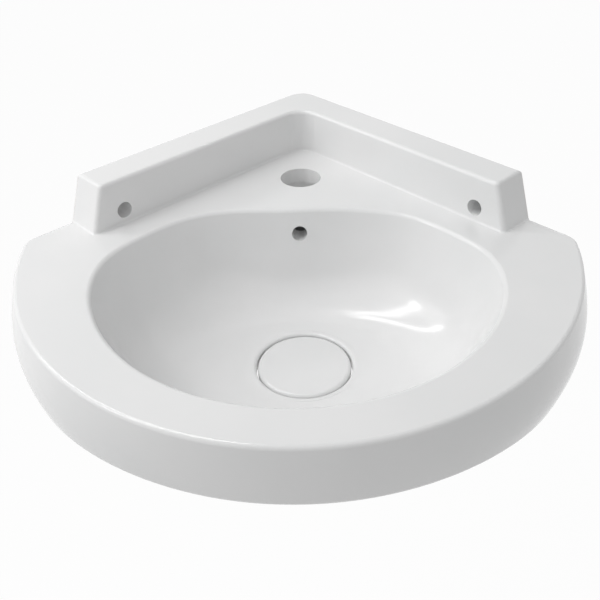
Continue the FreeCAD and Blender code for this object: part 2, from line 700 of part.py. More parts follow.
def plug_cap():
    """Crowned ceramic disc with a socket below for the carrier's neck."""
    low = carrier_top()
    edge_top = low + CAP_THICK - CAP_CROWN
    crown = low + CAP_THICK
    rim = CAP_RADIUS
    middle = crown - CAP_CROWN / 4
    top_arc = Part.Arc(vec(0, 0, crown), vec(rim / 2, 0, middle), vec(rim, 0, edge_top)).toShape()
    points = [vec(rim, 0, edge_top), vec(rim, 0, low), vec(CAP_SOCKET_RADIUS, 0, low),
              vec(CAP_SOCKET_RADIUS, 0, low + CAP_SOCKET_DEPTH), vec(0, 0, low + CAP_SOCKET_DEPTH),
              vec(0, 0, crown)]
    sides = [line(a, b) for a, b in zip(points, points[1:])]
    face = Part.Face(Part.Wire([top_arc] + sides))
    body = face.revolve(vec(0, 0, 0), vec(0, 0, 1), 360)
    outer = [e for e in edges_at(body, edge_top) if e.Length > 2 * math.pi * (rim - 0.1)]
    body = body.makeFillet(CAP_EDGE_ROUND, outer)
    return at_waste(body, 0)


def plug_carrier():
    """Disc, neck for the cap, spigot for the seal and hub for the rod, in one moulding."""
    low, top = carrier_bottom(), carrier_top()
    spigot = PLUG_SEAL_INNER - SEAL_CLEAR / 2
    bore = ROD_RADIUS + FIT_CLEAR
    hub_low, spigot_low = low - CARRIER_HUB_LENGTH, low - CARRIER_SPIGOT_HEIGHT
    return waste_turned([(bore, hub_low), (CARRIER_HUB_RADIUS, hub_low),
                         (CARRIER_HUB_RADIUS, spigot_low), (spigot, spigot_low),
                         (spigot, low), (CARRIER_RADIUS, low), (CARRIER_RADIUS, top),
                         (CARRIER_NECK_RADIUS, top), (CARRIER_NECK_RADIUS, top + CARRIER_NECK_HEIGHT),
                         (bore, top + CARRIER_NECK_HEIGHT)])


def soft_ring(inner, wire, z):
    """Round-section ring about the waste's axis, its inner radius and section given."""
    ring_body = Part.makeTorus(inner + wire / 2, wire / 2)
    return at_waste(ring_body, z)


def cap_ring():
    inner = CARRIER_NECK_RADIUS + FIT_CLEAR
    return soft_ring(inner, CAP_RING_WIRE, carrier_top() + CARRIER_NECK_HEIGHT / 2)


def plug_seal():
    low = flange_top()
    body = ring(PLUG_SEAL_RADIUS, PLUG_SEAL_INNER, low, carrier_bottom())
    outer = [e for e in body.Edges if e.Length > 2 * math.pi * (PLUG_SEAL_RADIUS - 0.1)]
    return body.makeFillet(PLUG_SEAL_ROUND, outer)


def lock_nut():
    top = carrier_bottom() - CARRIER_HUB_LENGTH
    nut = hexagon(LOCK_NUT_FLATS_RADIUS, top - LOCK_NUT_THICK, LOCK_NUT_THICK)
    return nut.cut(waste_cylinder(ROD_RADIUS + FIT_CLEAR, top - LOCK_NUT_THICK - CUT_PAST, top + CUT_PAST))


# ---------------------------------------------------------------- cartridge

def sleeve_top():
    return hub_top() + SLEEVE_ABOVE_HUB


def sleeve_bottom():
    return hub_top() - HUB_HEIGHT - SLEEVE_BELOW_HUB


def bush_bottom():
    return sleeve_top() - BUSH_LENGTH


def head_top():
    """Shoulder of the rod's head; the plug's lift takes it up to the bush."""
    return bush_bottom() - PLUG_LIFT - HEAD_CLEAR


def rotor_top():
    return head_top() - HEAD_HEIGHT - ROTOR_CLEAR


def rotor_bottom():
    return rotor_top() - ROTOR_HEIGHT


def cartridge_sleeve():
    """Tube that hangs in the hub by its collar."""
    low, top = sleeve_bottom(), sleeve_top()
    body = waste_cylinder(SLEEVE_RADIUS, low, top)
    body = body.fuse(waste_cylinder(SLEEVE_FLANGE_RADIUS, hub_top(), hub_top() + SLEEVE_FLANGE_THICK))
    return body.cut(waste_cylinder(SLEEVE_BORE, low - CUT_PAST, top + CUT_PAST))


def guide_bush():
    """Bush in the sleeve's mouth, with a seat on top for the rod's ring."""
    low, top = bush_bottom(), sleeve_top()
    bore = ROD_RADIUS + FIT_CLEAR
    seat = ROD_RADIUS + STEM_RING_WIRE + 2 * FIT_CLEAR
    depth = STEM_RING_BELOW + STEM_RING_WIRE + STEM_SEAT_CLEAR
    return waste_turned([(bore, low), (SLEEVE_BORE - FIT_CLEAR, low), (SLEEVE_BORE - FIT_CLEAR, top),
                         (seat, top), (seat, top - depth), (bore, top - depth)])


def stem_ring():
    z = sleeve_top() - STEM_RING_WIRE / 2 - STEM_RING_BELOW
    return soft_ring(ROD_RADIUS + FIT_CLEAR, STEM_RING_WIRE, z)


def plug_rod():
    """Rod from the carrier down into the cartridge, with its head and the rotor's pilot."""
    top = carrier_top() + CARRIER_NECK_HEIGHT
    head = head_top()
    pilot_end = rotor_bottom() - PILOT_PAST_ROTOR
    return waste_turned([(0, pilot_end), (PILOT_RADIUS, pilot_end), (PILOT_RADIUS, head - HEAD_HEIGHT),
                         (HEAD_RADIUS, head - HEAD_HEIGHT), (HEAD_RADIUS, head), (ROD_RADIUS, head),
                         (ROD_RADIUS, top), (0, top)])


def index_rotor():
    """Ring on the rod's pilot with lugs that run on the cartridge's bore."""
    low, top = rotor_bottom(), rotor_top()
    core = ROTOR_RADIUS - LUG_RISE
    body = ring(core, PILOT_RADIUS + FIT_CLEAR, low, top)
    lugs = [radial_box(core - OVERLAP, ROTOR_RADIUS, LUG_WIDTH, low + LUG_FOOT, top, 360.0 * k / ROTOR_LUGS)
            for k in range(ROTOR_LUGS)]
    return body.fuse(lugs)


def end_cap():
    low = sleeve_bottom()
    return ring(SLEEVE_BORE - FIT_CLEAR, END_CAP_HOLE, low, low + END_CAP_THICK)


def biarc(start, start_run, end, end_run):
    """Two tangent arcs between two places with given directions."""
    way = end - start
    both = start_run + end_run
    square = 2 * (start_run.dot(end_run) - 1)
    middle = -2 * way.dot(both)
    reach = (-middle - math.sqrt(middle ** 2 - 4 * square * way.dot(way))) / (2 * square)
    first = start + start_run * reach
    last = end - end_run * reach
    joint = (first + last) / 2
    return [tangent_arc(start, first, joint), tangent_arc(joint, last, end)]


def tangent_arc(start, knee, end):
    """Arc from start to end whose end tangents meet at the knee."""
    middle = (start + end) / 2
    half = (end - start).Length / 2
    turn = math.acos(min(1.0, half / (knee - start).Length))
    rise = math.tan(turn / 2) / math.tan(turn)
    return Part.Arc(start, middle + (knee - middle) * rise, end).toShape()


def spring_bottom():
    return sleeve_bottom() + END_CAP_THICK


def spring_place(turn):
    """Middle of the wire after a number of turns, and its direction."""
    margin = SPRING_WIRE / 2 + SPRING_END_CLEAR
    low, high = spring_bottom() + margin, rotor_bottom() - margin
    pitch = (high - low) / SPRING_TURNS
    angle = 2 * math.pi * turn
    place = vec(WASTE_X + SPRING_RADIUS * math.cos(angle), WASTE_Y + SPRING_RADIUS * math.sin(angle),
                low + pitch * turn)
    run = vec(-math.sin(angle), math.cos(angle), pitch / (2 * math.pi * SPRING_RADIUS)).normalize()
    return place, run


def return_spring():
    """One unbroken wire, each quarter turn made of two arcs."""
    edges = []
    for k in range(4 * SPRING_TURNS):
        start, start_run = spring_place(k / 4)
        end, end_run = spring_place((k + 1) / 4)
        edges += biarc(start, start_run, end, end_run)
    place, run = spring_place(0)
    section = Part.Wire([Part.Circle(place, run, SPRING_WIRE / 2).toShape()])
    return Part.Wire(edges).makePipeShell([section], True, False)


def spring_gap():
    """Least distance between neighbouring turns of the spring's wire."""
    samples = 48
    places = [spring_place(k / samples)[0] for k in range(samples * SPRING_TURNS + 1)]
    least = min((places[i] - places[j]).Length for i in range(len(places))
                for j in range(i + samples // 2, len(places)))
    return least - SPRING_WIRE


PARTS = {
    "basin": basin,
    "waste_body": waste_body,
    "flange_seal": flange_seal,
    "lower_seal": lower_seal,
    "slip_washer": slip_washer,
    "back_nut": back_nut,
    "plug_cap": plug_cap,
    "cap_ring": cap_ring,
    "plug_carrier": plug_carrier,
    "plug_seal": plug_seal,
    "lock_nut": lock_nut,
    "plug_rod": plug_rod,
    "index_rotor": index_rotor,
    "return_spring": return_spring,
    "cartridge_sleeve": cartridge_sleeve,
    "guide_bush": guide_bush,
    "stem_ring": stem_ring,
    "cartridge_end_cap": end_cap,
}


def main():
    os.makedirs("parts", exist_ok=True)
    print("least gap between spring turns %.2f mm" % spring_gap())
    for name, make in PARTS.items():
        shape = make()
        if not shape.isValid() or len(shape.Solids) != 1:
            raise RuntimeError(name + " is not one valid solid")
        shape.exportStep("parts/" + name + ".step")
        print(name, round(shape.Volume), shape.BoundBox)


main()
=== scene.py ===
import json
import math

import bmesh
import bpy
from bpy.props import FloatProperty, FloatVectorProperty, IntProperty, PointerProperty
from bpy.types import Operator, Panel, PropertyGroup
from mathutils import Matrix, Vector

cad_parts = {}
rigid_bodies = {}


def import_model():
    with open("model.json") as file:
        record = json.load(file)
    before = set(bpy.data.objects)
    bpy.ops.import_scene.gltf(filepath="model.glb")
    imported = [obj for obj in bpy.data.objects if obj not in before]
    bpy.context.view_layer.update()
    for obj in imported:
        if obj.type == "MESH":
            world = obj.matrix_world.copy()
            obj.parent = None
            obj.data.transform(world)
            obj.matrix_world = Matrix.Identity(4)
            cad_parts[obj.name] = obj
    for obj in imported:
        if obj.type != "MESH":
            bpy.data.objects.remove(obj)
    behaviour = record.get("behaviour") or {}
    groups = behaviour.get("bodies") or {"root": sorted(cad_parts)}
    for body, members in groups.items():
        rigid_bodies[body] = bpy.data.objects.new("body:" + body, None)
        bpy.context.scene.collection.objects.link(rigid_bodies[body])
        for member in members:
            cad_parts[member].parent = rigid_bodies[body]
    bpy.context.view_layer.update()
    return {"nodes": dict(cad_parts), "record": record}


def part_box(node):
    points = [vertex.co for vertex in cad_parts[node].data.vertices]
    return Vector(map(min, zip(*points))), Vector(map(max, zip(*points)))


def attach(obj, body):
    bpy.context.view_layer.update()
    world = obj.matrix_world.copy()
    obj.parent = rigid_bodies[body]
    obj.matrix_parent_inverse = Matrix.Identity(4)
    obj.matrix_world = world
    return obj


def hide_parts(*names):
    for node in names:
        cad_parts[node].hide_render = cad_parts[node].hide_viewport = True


bl_info = {
    "name": "Corner basin",
    "version": (1, 0, 0),
    "blender": (4, 5, 0),
    "location": "View3D > Sidebar > Basin",
    "description": "Finishes and studio for a small ceramic corner basin with a push-open waste",
    "category": "Object",
}

# A new file's own objects go first, so that only the frame is measured.
for startup_object in list(bpy.data.objects):
    bpy.data.objects.remove(startup_object)

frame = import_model()
NODES = frame["nodes"]
FINISHES = {entry["slot"]: tuple(entry["base_color"]) for entry in frame["record"]["materials"]}
WASTE_LOW, WASTE_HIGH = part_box("waste_body")
WASTE_X = (WASTE_LOW[0] + WASTE_HIGH[0]) / 2
WASTE_Y = (WASTE_LOW[1] + WASTE_HIGH[1]) / 2
NUT_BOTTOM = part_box("back_nut")[0][2]
THREAD = next(mount for mount in frame["record"]["mounts"] if mount["name"] == "waste_outlet")
THREAD_LENGTH = THREAD["dims"]["length_mm"] / 1000
THREAD_CREST = THREAD["dims"]["r_mm"] / 1000
MILLIMETRE = 0.001

# ---------------------------------------------------------------- fixed values

# Places of the Mix node's factor, first and second inputs and output, which share names between kinds.
MIX_SOCKETS = {"FLOAT": (0, 2, 3, 0), "RGBA": (0, 6, 7, 2)}

GLAZE_IOR = 1.54
CLAY_ROUGHNESS = 0.75
GLAZE_END = (-0.2 * MILLIMETRE, 0.3 * MILLIMETRE)   # from the wall's plane: all glaze, all clay
FACES_DOWN = (-0.9, -0.4)                           # the normal's Z: faces down, no longer does
UNDER_DECK = (-0.016, -0.012)                       # height: underside, deck
THIN_GLAZE_PATCHES = (0.35, 0.6)                    # noise: outside a patch of thin glaze, inside one
THIN_GLAZE_CLAY = (0.35, 0.9)                       # share of clay that shows outside, inside

WELD_DISTANCE = 0.002 * MILLIMETRE
SHARP_ANGLE = math.radians(32)
TUBE_EDGE_ROUND = 0.4 * MILLIMETRE
TUBE_EDGE_STEPS = 4
THREAD_LEAD = 2.4 * MILLIMETRE                      # plain tube above and below the thread
THREAD_RUNOUT = 0.035                               # share of the thread over which each end grows
RUNOUT_START = 0.02                                 # share of the thread's height left at its very ends
RIDGE_WIDTH = 0.56                                  # radius of the ridge's section over the pitch

FLOOR_HALF = 6.0
FLOOR_GLOW = 0.95                                   # share of plain white in the floor where it is seen
LAMP_AIM = Vector((0.0, -0.11, -0.03))
LAMP_DISTANCE = 1.5
FRONT_STRIP_WAY = Vector((-0.56, -0.2, 0.80))
BACK_STRIP_WAY = Vector((-0.56, 0.15, 0.81))
KEY_WAY = Vector((-0.92, -0.05, 0.39))

# The photograph's camera, solved from the basin's outline; the lens and the sensor are in millimetres.
CAMERA_SENSOR = 36.0
CAMERA_LENS = 47.298
CAMERA_FAR = 50.0
CAMERA_RIGHT = Vector((0.999627, 0.020069, -0.018522))
CAMERA_UP = Vector((0.003264, 0.585536, 0.810640))
CAMERA_PLACE = Vector((0.017772, -0.619665, 0.315901))


# ---------------------------------------------------------------- settings

def colour(label, text, default):
    return FloatVectorProperty(name=label, description=text, default=default, size=3, min=0.0, max=1.0,
                               subtype="COLOR")


def share(label, text, default):
    return FloatProperty(name=label, description=text, default=default, min=0.0, max=1.0, subtype="FACTOR")


def length(label, text, default):
    return FloatProperty(name=label, description=text, default=default, unit="LENGTH", precision=5)


def power(label, text, default):
    return FloatProperty(name=label, description=text, default=default, min=0.0, unit="POWER")


class CeramicSettings(PropertyGroup):
    glaze: colour("Glaze", "Colour of the fired white glaze", FINISHES["glaze"])
    glaze_deep: colour("Thick glaze", "Colour where the glaze lies a little thicker", (0.80, 0.805, 0.805))
    body: colour("Bare clay", "Colour of the unglazed body on the wall faces", (0.72, 0.69, 0.64))
    gloss_roughness: share("Gloss roughness", "Roughness of the glaze", 0.15)
    wave_height: length("Wave height", "Height of the glaze's slow waves", 0.00006)
    corner_y: length("Corner distance", "From the tap hole's axis to the room corner", 0.1087)


class MetalSettings(PropertyGroup):
    chrome: colour("Chrome", "Colour of the chromed brass", FINISHES["chromed_brass"])
    steel: colour("Steel", "Colour of the plain steel parts", FINISHES["steel"])
    turning_pitch: length("Turning pitch", "Spacing of the fine marks left by turning", 0.0004)


class ThreadSettings(PropertyGroup):
    pitch: length("Pitch", "Rise of the trap's thread in one turn", 0.00231)
    crest_radius: length("Crest radius", "Outer radius of the thread", THREAD_CREST)
    root_radius: length("Root radius", "Radius at the bottom of the thread", 0.0197)
    bore_radius: length("Bore radius", "Inner radius of the waste's tube", 0.0178)
    steps: IntProperty(name="Steps per turn", description="Straight steps in one turn of the thread",
                       default=96, min=24, max=240)


class SoftSettings(PropertyGroup):
    rubber: colour("Rubber", "Colour of the black seals", FINISHES["black_rubber"])
    silicone: colour("Silicone", "Colour of the clear seals", FINISHES["clear_silicone"])


class PlasticSettings(PropertyGroup):
    white: colour("White plastic", "Colour of the white mouldings", FINISHES["white_plastic"])
    grey: colour("Grey plastic", "Colour of the cartridge's mouldings", FINISHES["grey_plastic"])


class StudioSettings(PropertyGroup):
    floor: colour("Floor", "Colour of the studio floor", (0.88, 0.88, 0.88))
    floor_height: length("Floor height", "Height of the floor below a basin that hangs on its walls", -0.85)
    room_light: FloatProperty(name="Room light", description="Soft light from all round", default=0.52,
                              min=0.0, max=2.0)
    right_fall: share("Right fall", "How much dimmer the room is at the right than at its middle", 0.14)
    front_rise: share("Front rise", "How much brighter the room is in front than at its middle", 0.06)
    strip_power: power("Strip light", "Power of each of the two high strip lamps", 5.5)
    strip_width: length("Strip width", "Short side of each strip lamp", 0.15)
    strip_length: length("Strip length", "Long side of each strip lamp, which leans over the basin", 1.5)
    key_power: power("Key light", "Power of the large softbox low at the left", 2.3)
    key_size: length("Key size", "Side of the large softbox", 0.9)


# ---------------------------------------------------------------- node building

def add_node(tree, kind, **inputs):
    """A new node, its sockets filled from values or linked from other sockets by name."""
    item = tree.nodes.new(kind)
    for name, value in inputs.items():
        connect(tree, value, item.inputs[name.replace("_", " ")])
    return item


def connect(tree, value, socket):
    if isinstance(value, bpy.types.NodeSocket):
        tree.links.new(value, socket)
    elif isinstance(value, tuple) and len(value) == 3 and socket.type == "RGBA":
        socket.default_value = (*value, 1.0)
    else:
        socket.default_value = value


def calculate(tree, operation, first, second=0.0, clamp=False):
    item = tree.nodes.new("ShaderNodeMath")
    item.operation = operation
    item.use_clamp = clamp
    for socket, value in zip(item.inputs, (first, second)):
        connect(tree, value, socket)
    return item.outputs[0]


def remap(tree, value, low, high, to_low=0.0, to_high=1.0):
    """A value moved smoothly from one range to another."""
    item = tree.nodes.new("ShaderNodeMapRange")
    item.interpolation_type = "SMOOTHSTEP"
    for socket, entry in zip(item.inputs, (value, low, high, to_low, to_high)):
        connect(tree, entry, socket)
    return item.outputs[0]


def mix(tree, kind, factor, first, second):
    """Two values or two colours mixed by a factor."""
    item = tree.nodes.new("ShaderNodeMix")
    item.data_type = kind
    *inputs, result = MIX_SOCKETS[kind]
    for value, number in zip((factor, first, second), inputs):
        connect(tree, value, item.inputs[number])
    return item.outputs[result]


def place(tree):
    """Where a point lies in its object."""
    return tree.nodes.new("ShaderNodeTexCoord").outputs["Object"]


def axes(tree, vector):
    """The X, Y and Z of a vector."""
    return add_node(tree, "ShaderNodeSeparateXYZ", Vector=vector).outputs


def noise(tree, scale, detail):
    item = add_node(tree, "ShaderNodeTexNoise", Vector=place(tree), Scale=scale, Detail=detail)
    return item.outputs["Fac"]


def add_inputs(group, entries):
    for label, kind, value in entries:
        socket = group.interface.new_socket(name=label, in_out="INPUT", socket_type=kind)
        socket.default_value = value


def effect(name, inputs, outputs, build):
    """A shader node group with named inputs and outputs, made once."""
    if name in bpy.data.node_groups:
        return bpy.data.node_groups[name]
    group = bpy.data.node_groups.new(name, "ShaderNodeTree")
    add_inputs(group, inputs)
    for label, kind in outputs:
        group.interface.new_socket(name=label, in_out="OUTPUT", socket_type=kind)
    start = group.nodes.new("NodeGroupInput").outputs
    end = group.nodes.new("NodeGroupOutput").inputs
    build(group, start, end)
    return group


def use_effect(tree, group, output, **values):
    item = tree.nodes.new("ShaderNodeGroup")
    item.node_tree = group
    for name, value in values.items():
        connect(tree, value, item.inputs[name.replace("_", " ")])
    return item.outputs[output]


def tone_variation():
    """Soft patches between two close colours."""
    def build(group, start, end):
        patches = remap(group, noise(group, start["Scale"], 5.0), 0.32, 0.68)
        group.links.new(mix(group, "RGBA", patches, start["First"], start["Second"]), end["Color"])

    return effect("tone_variation",
                  [("Scale", "NodeSocketFloat", 20.0), ("First", "NodeSocketColor", (0.5, 0.5, 0.5, 1.0)),
                   ("Second", "NodeSocketColor", (0.4, 0.4, 0.4, 1.0))],
                  [("Color", "NodeSocketColor")], build)


def roughness_variation():
    """Patches of slightly duller surface, from handling and cleaning."""
    def build(group, start, end):
        patches = noise(group, start["Scale"], 6.0)
        group.links.new(remap(group, patches, 0.3, 0.75, start["Low"], start["High"]), end["Roughness"])

    return effect("roughness_variation",
                  [("Scale", "NodeSocketFloat", 30.0), ("Low", "NodeSocketFloat", 0.1),
                   ("High", "NodeSocketFloat", 0.2)],
                  [("Roughness", "NodeSocketFloat")], build)


def surface_relief():
    """Height in metres: slow waves and fine grain."""
    def build(group, start, end):
        waves = calculate(group, "MULTIPLY", noise(group, start["Wave Scale"], 1.5), start["Wave Height"])
        grain = calculate(group, "MULTIPLY", noise(group, start["Grain Scale"], 2.0), start["Grain Height"])
        group.links.new(calculate(group, "ADD", waves, grain), end["Height"])

    return effect("surface_relief",
                  [("Wave Scale", "NodeSocketFloat", 25.0), ("Wave Height", "NodeSocketFloat", 0.0),
                   ("Grain Scale", "NodeSocketFloat", 2000.0), ("Grain Height", "NodeSocketFloat", 0.0)],
                  [("Height", "NodeSocketFloat")], build)


def turned_marks():
    """Height in metres of fine rings about the waste's axis, as a lathe leaves them."""
    def build(group, start, end):
        parts = axes(group, place(group))
        east = calculate(group, "SUBTRACT", parts["X"], WASTE_X)
        north = calculate(group, "SUBTRACT", parts["Y"], WASTE_Y)
        square = calculate(group, "ADD", calculate(group, "MULTIPLY", east, east),
                           calculate(group, "MULTIPLY", north, north))
        travel = calculate(group, "ADD", calculate(group, "SQRT", square), parts["Z"])
        turns = calculate(group, "DIVIDE", travel, start["Pitch"])
        uneven = noise(group, 300.0, 2.0)
        wave = calculate(group, "SINE", calculate(group, "MULTIPLY", turns, math.tau))
        group.links.new(calculate(group, "MULTIPLY", calculate(group, "MULTIPLY", wave, uneven),
                                  start["Depth"]), end["Height"])

    return effect("turned_marks",
                  [("Pitch", "NodeSocketFloat", 0.0004), ("Depth", "NodeSocketFloat", 0.000002)],
                  [("Height", "NodeSocketFloat")], build)


def new_material(name):
    """An empty material and its principled shader."""
    material = bpy.data.materials.new(name)
    material.use_nodes = True
    tree = material.node_tree
    tree.nodes.clear()
    shader = tree.nodes.new("ShaderNodeBsdfPrincipled")
    out = tree.nodes.new("ShaderNodeOutputMaterial")
    tree.links.new(shader.outputs["BSDF"], out.inputs["Surface"])
    return material, tree, shader.inputs


def bump(tree, height, shader):
    """Feeds a height in metres to the shader's normal."""
    item = add_node(tree, "ShaderNodeBump", Height=height)
    item.inputs["Strength"].default_value = 1.0
    item.inputs["Distance"].default_value = 1.0
    tree.links.new(item.outputs["Normal"], shader["Normal"])


def darker(tone, factor):
    return tuple(part * factor for part in tone)


def coat(tree, shader, tones, tone_scale, roughness, roughness_scale):
    """Base colour and roughness, each in soft patches between two values."""
    tree.links.new(use_effect(tree, tone_variation(), "Color", Scale=tone_scale, First=tuple(tones[0]),
                              Second=tones[1]), shader["Base Color"])
    tree.links.new(use_effect(tree, roughness_variation(), "Roughness", Scale=roughness_scale,
                              Low=roughness[0], High=roughness[1]), shader["Roughness"])


# ---------------------------------------------------------------- finishes

def bare_clay_mask(tree, corner_y):
    """1 on the faces that stand against the walls and on what faces down, 0 on the glaze."""
    parts = axes(tree, place(tree))
    toward_corner = calculate(tree, "ADD", calculate(tree, "ABSOLUTE", parts["X"]), parts["Y"])
    ragged = calculate(tree, "MULTIPLY", noise(tree, 180.0, 4.0), MILLIMETRE)
    edge = calculate(tree, "ADD", toward_corner, ragged)
    on_wall = remap(tree, edge, corner_y + GLAZE_END[0], corner_y + GLAZE_END[1])
    up = axes(tree, tree.nodes.new("ShaderNodeTexCoord").outputs["Normal"])["Z"]
    down = calculate(tree, "MULTIPLY", remap(tree, up, *FACES_DOWN, 1.0, 0.0),
                     remap(tree, parts["Z"], *UNDER_DECK, 1.0, 0.0))
    clay = remap(tree, noise(tree, 40.0, 4.0), *THIN_GLAZE_PATCHES, *THIN_GLAZE_CLAY)
    patchy = calculate(tree, "MULTIPLY", down, clay)
    return calculate(tree, "MAXIMUM", on_wall, patchy, clamp=True)


def glaze_material(settings):
    """Fired white glaze, bare where the basin meets its walls and thin underneath."""
    material, tree, shader = new_material("white_glaze")
    bare = bare_clay_mask(tree, settings.corner_y)
    white = use_effect(tree, tone_variation(), "Color", Scale=9.0, First=tuple(settings.glaze),
                       Second=tuple(settings.glaze_deep))
    clay = use_effect(tree, tone_variation(), "Color", Scale=60.0, First=tuple(settings.body),
                      Second=darker(settings.body, 0.9))
    tree.links.new(mix(tree, "RGBA", bare, white, clay), shader["Base Color"])
    gloss = use_effect(tree, roughness_variation(), "Roughness", Scale=14.0,
                       Low=settings.gloss_roughness * 0.8, High=settings.gloss_roughness * 1.4)
    tree.links.new(mix(tree, "FLOAT", bare, gloss, CLAY_ROUGHNESS), shader["Roughness"])
    smooth = use_effect(tree, surface_relief(), "Height", Wave_Scale=22.0, Wave_Height=settings.wave_height,
                        Grain_Scale=420.0, Grain_Height=settings.wave_height * 0.012)
    coarse = use_effect(tree, surface_relief(), "Height", Wave_Scale=300.0, Wave_Height=0.00004,
                        Grain_Scale=1500.0, Grain_Height=0.00003)
    bump(tree, calculate(tree, "ADD", smooth, calculate(tree, "MULTIPLY", coarse, bare)), shader)
    shader["IOR"].default_value = GLAZE_IOR
    return material


def chrome_material(settings):
    """Chromed brass with faint turning marks under the plating."""
    material, tree, shader = new_material("chromed_brass")
    coat(tree, shader, tones=(settings.chrome, darker(settings.chrome, 0.93)), tone_scale=45.0,
         roughness=(0.07, 0.2), roughness_scale=80.0)
    marks = use_effect(tree, turned_marks(), "Height", Pitch=settings.turning_pitch, Depth=0.000003)
    waves = use_effect(tree, surface_relief(), "Height", Wave_Scale=120.0, Wave_Height=0.00001,
                       Grain_Scale=1800.0, Grain_Height=0.000001)
    bump(tree, calculate(tree, "ADD", marks, waves), shader)
    shader["Metallic"].default_value = 1.0
    return material


def steel_material(settings):
    """Plain drawn and turned steel, duller than the chrome."""
    material, tree, shader = new_material("drawn_steel")
    coat(tree, shader, tones=(settings.steel, darker(settings.steel, 0.8)), tone_scale=160.0,
         roughness=(0.24, 0.42), roughness_scale=220.0)
    marks = use_effect(tree, turned_marks(), "Height", Pitch=settings.turning_pitch * 0.7, Depth=0.000004)
    grain = use_effect(tree, surface_relief(), "Height", Wave_Scale=500.0, Wave_Height=0.000006,
                       Grain_Scale=4000.0, Grain_Height=0.000002)
    bump(tree, calculate(tree, "ADD", marks, grain), shader)
    shader["Metallic"].default_value = 1.0
    return material


def soft_material(name, tone, roughness, grain_height):
    """Moulded rubber or silicone with a dusty bloom and fine grain."""
    material, tree, shader = new_material(name)
    bloom = tuple(min(1.0, part + 0.02) for part in tone)
    coat(tree, shader, tones=(tone, bloom), tone_scale=110.0, roughness=roughness, roughness_scale=150.0)
    bump(tree, use_effect(tree, surface_relief(), "Height", Wave_Scale=200.0, Wave_Height=0.00002,
                          Grain_Scale=2600.0, Grain_Height=grain_height), shader)
    return material


def plastic_material(name, tone):
    """Moulded plastic with a fine sparked texture and slight mottling."""
    material, tree, shader = new_material(name)
    coat(tree, shader, tones=(tone, darker(tone, 0.94)), tone_scale=90.0, roughness=(0.32, 0.5),
         roughness_scale=120.0)
    bump(tree, use_effect(tree, surface_relief(), "Height", Wave_Scale=90.0, Wave_Height=0.00002,
                          Grain_Scale=3200.0, Grain_Height=0.000006), shader)
    return material


def dress(names, material):
    """Gives frame nodes a finish; their meshes stay as they are."""
    for name in names:
        for slot in NODES[name].material_slots:
            slot.material = material


# ---------------------------------------------------------------- threaded waste

def thread_tree():
    """Tube with one helical ridge, hanging down from its own origin."""
    group = bpy.data.node_groups.new("waste_thread", "GeometryNodeTree")
    group.interface.new_socket(name="Geometry", in_out="INPUT", socket_type="NodeSocketGeometry")
    add_inputs(group, [("Length", "NodeSocketFloat", 0.03), ("Pitch", "NodeSocketFloat", 0.0023),
                       ("Crest Radius", "NodeSocketFloat", 0.021),
                       ("Root Radius", "NodeSocketFloat", 0.0197),
                       ("Bore Radius", "NodeSocketFloat", 0.0178), ("Steps", "NodeSocketInt", 96)])
    group.interface.new_socket(name="Material", in_out="INPUT", socket_type="NodeSocketMaterial")
    group.interface.new_socket(name="Geometry", in_out="OUTPUT", socket_type="NodeSocketGeometry")
    start = group.nodes.new("NodeGroupInput").outputs
    end = group.nodes.new("NodeGroupOutput").inputs
    joined = group.nodes.new("GeometryNodeJoinGeometry")
    group.links.new(thread_tube(group, start), joined.inputs[0])
    group.links.new(thread_ridge(group, start), joined.inputs[0])
    whole = add_node(group, "GeometryNodeRealizeInstances", Geometry=joined.outputs[0])
    finish = add_node(group, "GeometryNodeSetMaterial", Geometry=whole.outputs[0],
                      Material=start["Material"])
    group.links.new(finish.outputs[0], end["Geometry"])
    return group


def levelled(group, curve):
    """A curve whose normals stay level, so that a section doesn't twist along it."""
    item = group.nodes.new("GeometryNodeSetCurveNormal")
    item.mode = "Z_UP"
    group.links.new(curve, item.inputs["Curve"])
    return item.outputs[0]


def raised(group, geometry, height):
    """A geometry moved up by a height."""
    shift = add_node(group, "ShaderNodeCombineXYZ", Z=height)
    return add_node(group, "GeometryNodeTransform", Geometry=geometry,
                    Translation=shift.outputs[0]).outputs[0]


def thread_tube(group, start):
    """Plain tube from bore to root, its edges rounded."""
    wall = calculate(group, "SUBTRACT", start["Root Radius"], start["Bore Radius"])
    middle = calculate(group, "DIVIDE", calculate(group, "ADD", start["Root Radius"],
                                                  start["Bore Radius"]), 2.0)
    path = add_node(group, "GeometryNodeCurvePrimitiveCircle", Resolution=start["Steps"], Radius=middle)
    section = add_node(group, "GeometryNodeCurvePrimitiveQuadrilateral", Width=wall,
                       Height=start["Length"])
    soft = group.nodes.new("GeometryNodeFilletCurve")
    soft.mode = "POLY"
    group.links.new(section.outputs[0], soft.inputs["Curve"])
    soft.inputs["Radius"].default_value = TUBE_EDGE_ROUND
    soft.inputs["Count"].default_value = TUBE_EDGE_STEPS
    tube = add_node(group, "GeometryNodeCurveToMesh", Curve=levelled(group, path.outputs[0]),
                    Profile_Curve=soft.outputs[0])
    return raised(group, tube.outputs[0], calculate(group, "MULTIPLY", start["Length"], -0.5))


